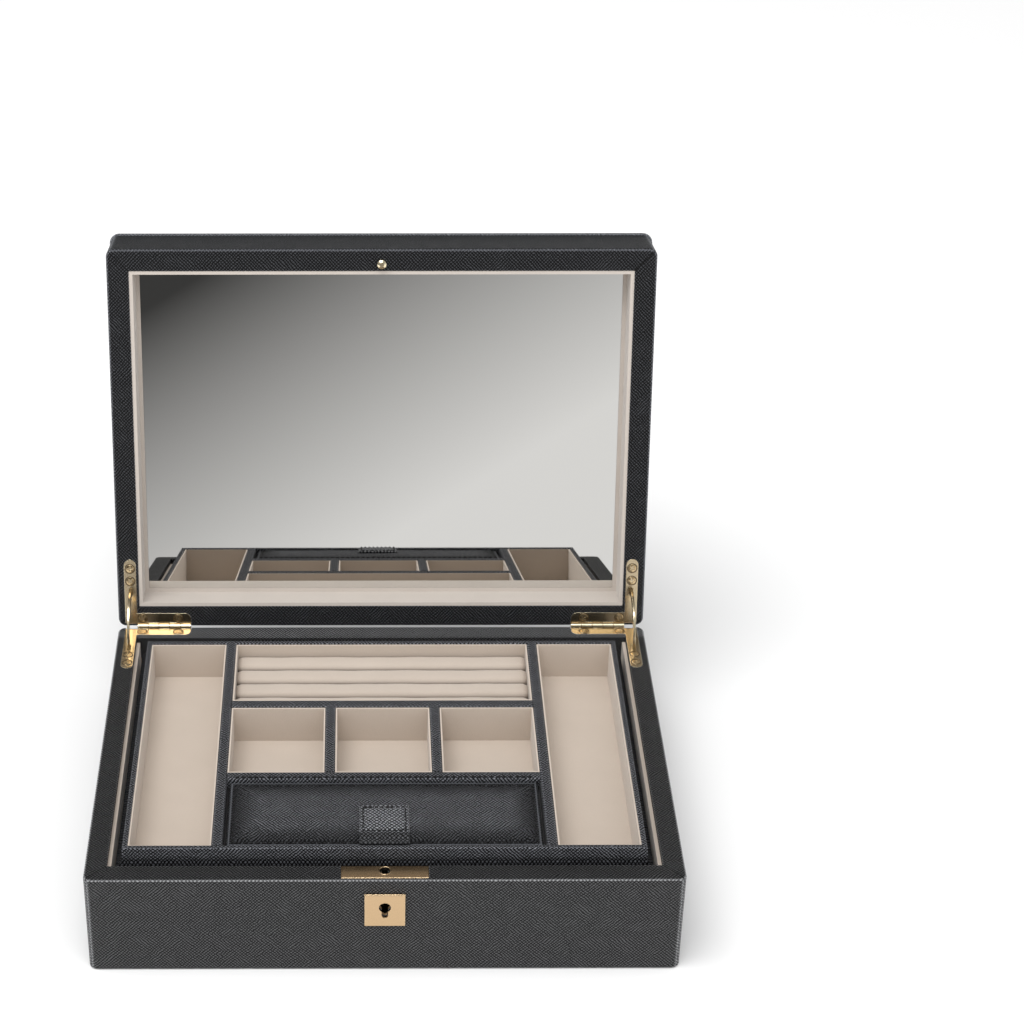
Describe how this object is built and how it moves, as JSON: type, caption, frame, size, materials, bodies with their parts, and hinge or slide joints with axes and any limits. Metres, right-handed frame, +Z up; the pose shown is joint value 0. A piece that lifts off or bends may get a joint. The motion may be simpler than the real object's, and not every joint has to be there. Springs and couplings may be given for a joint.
{
  "type": "jewellery box",
  "caption": "Leather-covered jewellery box with a mirrored lid on quadrant hinges, a lock, and a lift-out tray with ring rolls, compartments and a padded flap.",
  "frame": {"origin": "centre of the underside of the case, on the table", "axes": "+X to the right seen from the front, +Y to the rear, +Z up"},
  "size_m": [0.302, 0.3057, 0.2732],
  "materials": {
    "leather": "cross-grained, satin",
    "suede": "short matt nap",
    "board": "raw fibreboard",
    "brass": "polished",
    "steel": "plated",
    "mirror": "silvered glass",
    "foam": "open foam",
    "felt": "matt"
  },
  "bodies": {
    "case": {"base_felt": "felt", "case_floor": "board", "case_leather": "leather", "case_liner_left": "suede", "case_liner_right": "suede", "case_wall_front": "board", "case_wall_left": "board", "case_wall_rear": "board", "case_wall_right": "board", "escutcheon": "brass", "floor_lining": "suede", "hinge_pins": "brass", "lock_body": "steel", "lock_cover": "steel", "lower_leaf_left": "brass", "lower_leaf_right": "brass", "storage_liners": "suede", "strike_plate": "brass", "tray_runner_left": "suede", "tray_runner_right": "suede"},
    "lid": {"catch_stud": "brass", "lid_cover": "leather", "lid_leather": "leather", "lid_liners": "suede", "lid_pad": "foam", "lid_top_board": "board", "lid_wall_front": "board", "lid_wall_left": "board", "lid_wall_rear": "board", "lid_wall_right": "board", "mirror": "mirror", "mirror_bed": "suede", "upper_leaf_left": "brass", "upper_leaf_right": "brass"},
    "stay_left": {"stay_left": "brass"},
    "stay_right": {"stay_right": "brass"},
    "tray": {"cross_divider_front": "leather", "cross_divider_rear": "leather", "flap_box_lining": "suede", "long_divider_left": "leather", "long_divider_right": "leather", "ring_lining": "suede", "ring_rolls": "suede", "short_divider_left": "leather", "short_divider_right": "leather", "side_linings": "suede", "square_linings": "suede", "tray_floor": "board", "tray_wall_front": "leather", "tray_wall_left": "leather", "tray_wall_rear": "leather", "tray_wall_right": "leather"},
    "flap": {"flap_board": "board", "flap_cover": "leather", "pull_tab": "leather"},
    "bolt": {"lock_bolt": "steel"},
    "lever": {"lock_lever": "steel"}
  },
  "joints": [
    {"name": "lid_hinge", "type": "hinge", "parent": "case", "child": "lid", "pos_m": [0, 0.11, 0.0592], "axis": [-1, 0, 0], "range_deg": [-103, 0]},
    {"name": "stay_left_swing", "type": "hinge", "parent": "case", "child": "stay_left", "pos_m": [-0.1426, 0.11, 0.0592], "axis": [-1, 0, 0], "range_deg": [-51.5, 0]},
    {"name": "stay_right_swing", "type": "hinge", "parent": "case", "child": "stay_right", "pos_m": [0.1426, 0.11, 0.0592], "axis": [-1, 0, 0], "range_deg": [-51.5, 0]},
    {"name": "tray_lift", "type": "slide", "parent": "case", "child": "tray", "axis": [0, 0, 1], "range_m": [0, 0.07]},
    {"name": "flap_hinge", "type": "hinge", "parent": "tray", "child": "flap", "pos_m": [0, -0.03965, 0.067], "axis": [-1, 0, 0], "range_deg": [0, 100]},
    {"name": "bolt_slide", "type": "slide", "parent": "case", "child": "bolt", "axis": [1, 0, 0], "range_m": [0, 0.0035]},
    {"name": "lever_pivot", "type": "hinge", "parent": "case", "child": "lever", "pos_m": [-0.014, -0.105, 0.0495], "axis": [0, -1, 0], "range_deg": [0, 8], "stiffness_Nm_per_rad": 0.002}
  ],
  "couplings": [
    {"joint": "stay_left_swing", "follows": "lid_hinge", "ratio": 0.5},
    {"joint": "stay_right_swing", "follows": "lid_hinge", "ratio": 0.5}
  ]
}
